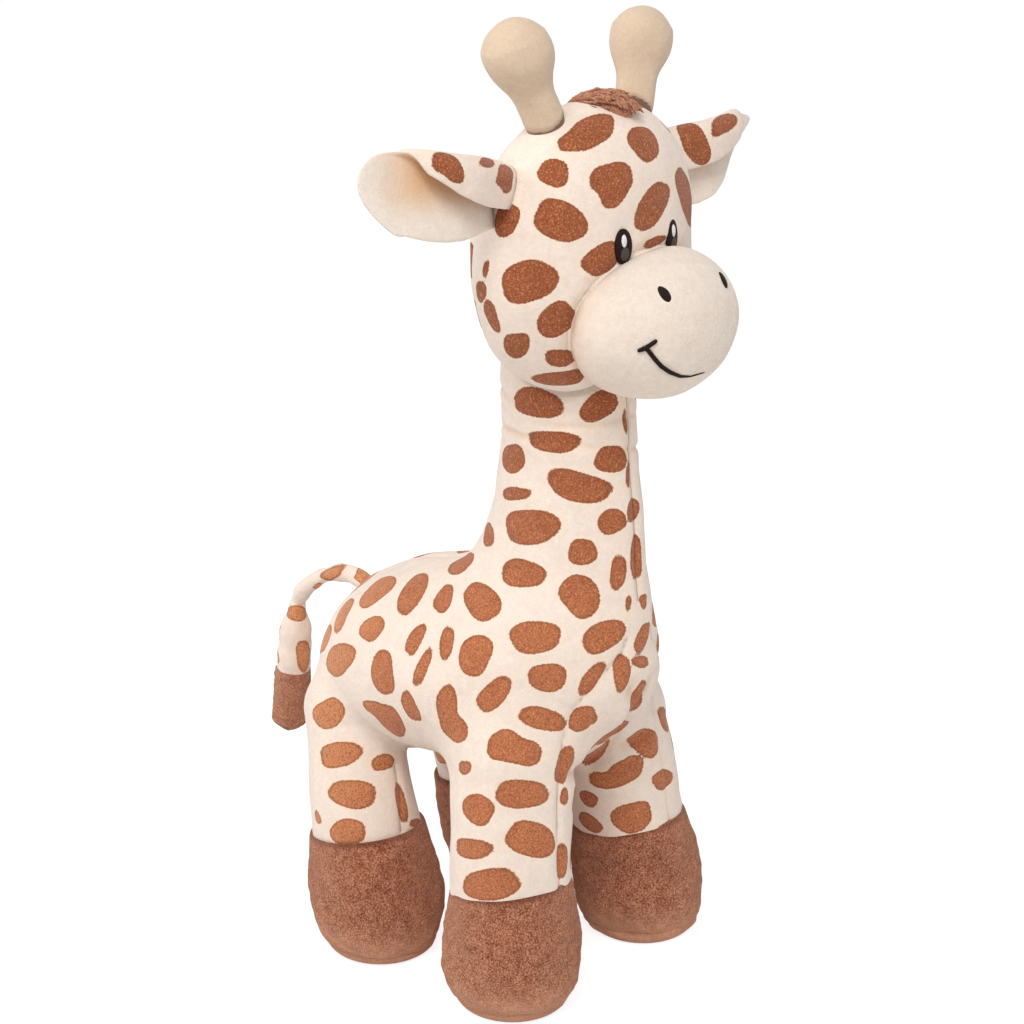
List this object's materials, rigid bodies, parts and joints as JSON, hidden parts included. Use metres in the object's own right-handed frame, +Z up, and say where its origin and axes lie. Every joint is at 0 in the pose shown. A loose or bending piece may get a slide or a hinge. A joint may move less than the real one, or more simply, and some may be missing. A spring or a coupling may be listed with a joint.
{
  "type": "plush giraffe",
  "caption": "Standing stuffed toy giraffe with a bending neck, turning head, flapping ears, splaying legs and a hanging tail, sewn from velour over fibre stuffing.",
  "frame": {"origin": "middle of the outline's footprint, on the floor that the hooves stand on", "axes": "+Z up, the face looks along -Y, the giraffe's left side is at +X"},
  "size_m": [0.2164, 0.21, 0.3499],
  "materials": {
    "spotted_velour": "short pile velour, cream printed with tan spots",
    "cream_velour": "plain short pile velour",
    "brown_velour": "deep pile velour, mottled",
    "dark_thread": "satin stitch embroidery",
    "white_thread": "satin stitch embroidery",
    "stuffing": "polyester fibre"
  },
  "bodies": {
    "torso": {"body_skin": "spotted_velour", "body_stuffing": "stuffing"},
    "neck": {"neck_skin": "spotted_velour", "neck_stuffing": "stuffing"},
    "head": {"head_skin": "spotted_velour", "head_stuffing": "stuffing", "muzzle_skin": "cream_velour", "muzzle_stuffing": "stuffing", "right_eye": "dark_thread", "right_eye_glint": "white_thread", "right_nostril": "dark_thread", "left_eye": "dark_thread", "left_eye_glint": "white_thread", "left_nostril": "dark_thread", "mouth": "dark_thread", "right_horn_skin": "cream_velour", "right_horn_stuffing": "stuffing", "left_horn_skin": "cream_velour", "left_horn_stuffing": "stuffing", "forelock": "brown_velour"},
    "ear_right": {"right_ear_back": "spotted_velour", "right_ear_lining": "cream_velour"},
    "ear_left": {"left_ear_back": "spotted_velour", "left_ear_lining": "cream_velour"},
    "leg_front_right": {"front_right_leg_skin": "spotted_velour", "front_right_leg_stuffing": "stuffing", "front_right_hoof": "brown_velour", "front_right_sole": "brown_velour"},
    "leg_front_left": {"front_left_leg_skin": "spotted_velour", "front_left_leg_stuffing": "stuffing", "front_left_hoof": "brown_velour", "front_left_sole": "brown_velour"},
    "leg_hind_right": {"hind_right_leg_skin": "spotted_velour", "hind_right_leg_stuffing": "stuffing", "hind_right_hoof": "brown_velour", "hind_right_sole": "brown_velour"},
    "leg_hind_left": {"hind_left_leg_skin": "spotted_velour", "hind_left_leg_stuffing": "stuffing", "hind_left_hoof": "brown_velour", "hind_left_sole": "brown_velour"},
    "tail_upper": {"tail_root": "spotted_velour"},
    "tail_lower": {"tail_drop": "spotted_velour", "tail_tip": "brown_velour"}
  },
  "joints": [
    {"name": "neck_bend", "type": "hinge", "parent": "torso", "child": "neck", "pos_m": [0, -0.03748, 0.146], "axis": [1, 0, 0], "range_deg": [-8, 8], "stiffness_Nm_per_rad": 1.5},
    {"name": "head_turn", "type": "hinge", "parent": "neck", "child": "head", "pos_m": [0, -0.05048, 0.271], "axis": [0, 0, 1], "range_deg": [-20, 20], "stiffness_Nm_per_rad": 0.5},
    {"name": "ear_right_flap", "type": "hinge", "parent": "head", "child": "ear_right", "pos_m": [-0.04674, -0.05098, 0.29186], "axis": [-0.1736, 0, -0.9848], "range_deg": [-30, 30], "stiffness_Nm_per_rad": 0.03},
    {"name": "ear_left_flap", "type": "hinge", "parent": "head", "child": "ear_left", "pos_m": [0.04674, -0.05098, 0.29186], "axis": [-0.1736, 0, 0.9848], "range_deg": [-30, 30], "stiffness_Nm_per_rad": 0.03},
    {"name": "leg_front_right_splay", "type": "hinge", "parent": "torso", "child": "leg_front_right", "pos_m": [-0.0285, -0.04238, 0.088], "axis": [0, 1, 0], "range_deg": [-5, 14], "stiffness_Nm_per_rad": 2},
    {"name": "leg_front_left_splay", "type": "hinge", "parent": "torso", "child": "leg_front_left", "pos_m": [0.0285, -0.04238, 0.088], "axis": [0, -1, 0], "range_deg": [-5, 14], "stiffness_Nm_per_rad": 2},
    {"name": "leg_hind_right_splay", "type": "hinge", "parent": "torso", "child": "leg_hind_right", "pos_m": [-0.0285, 0.03142, 0.088], "axis": [0, 1, 0], "range_deg": [-5, 14], "stiffness_Nm_per_rad": 2},
    {"name": "leg_hind_left_splay", "type": "hinge", "parent": "torso", "child": "leg_hind_left", "pos_m": [0.0285, 0.03142, 0.088], "axis": [0, -1, 0], "range_deg": [-5, 14], "stiffness_Nm_per_rad": 2},
    {"name": "tail_swing", "type": "hinge", "parent": "torso", "child": "tail_upper", "pos_m": [0, 0.05152, 0.126], "axis": [0, 0, 1], "range_deg": [-35, 35], "stiffness_Nm_per_rad": 0.02},
    {"name": "tail_curl", "type": "hinge", "parent": "tail_upper", "child": "tail_lower", "pos_m": [0, 0.08952, 0.11], "axis": [1, 0, 0], "range_deg": [-5, 60], "stiffness_Nm_per_rad": 0.02}
  ]
}
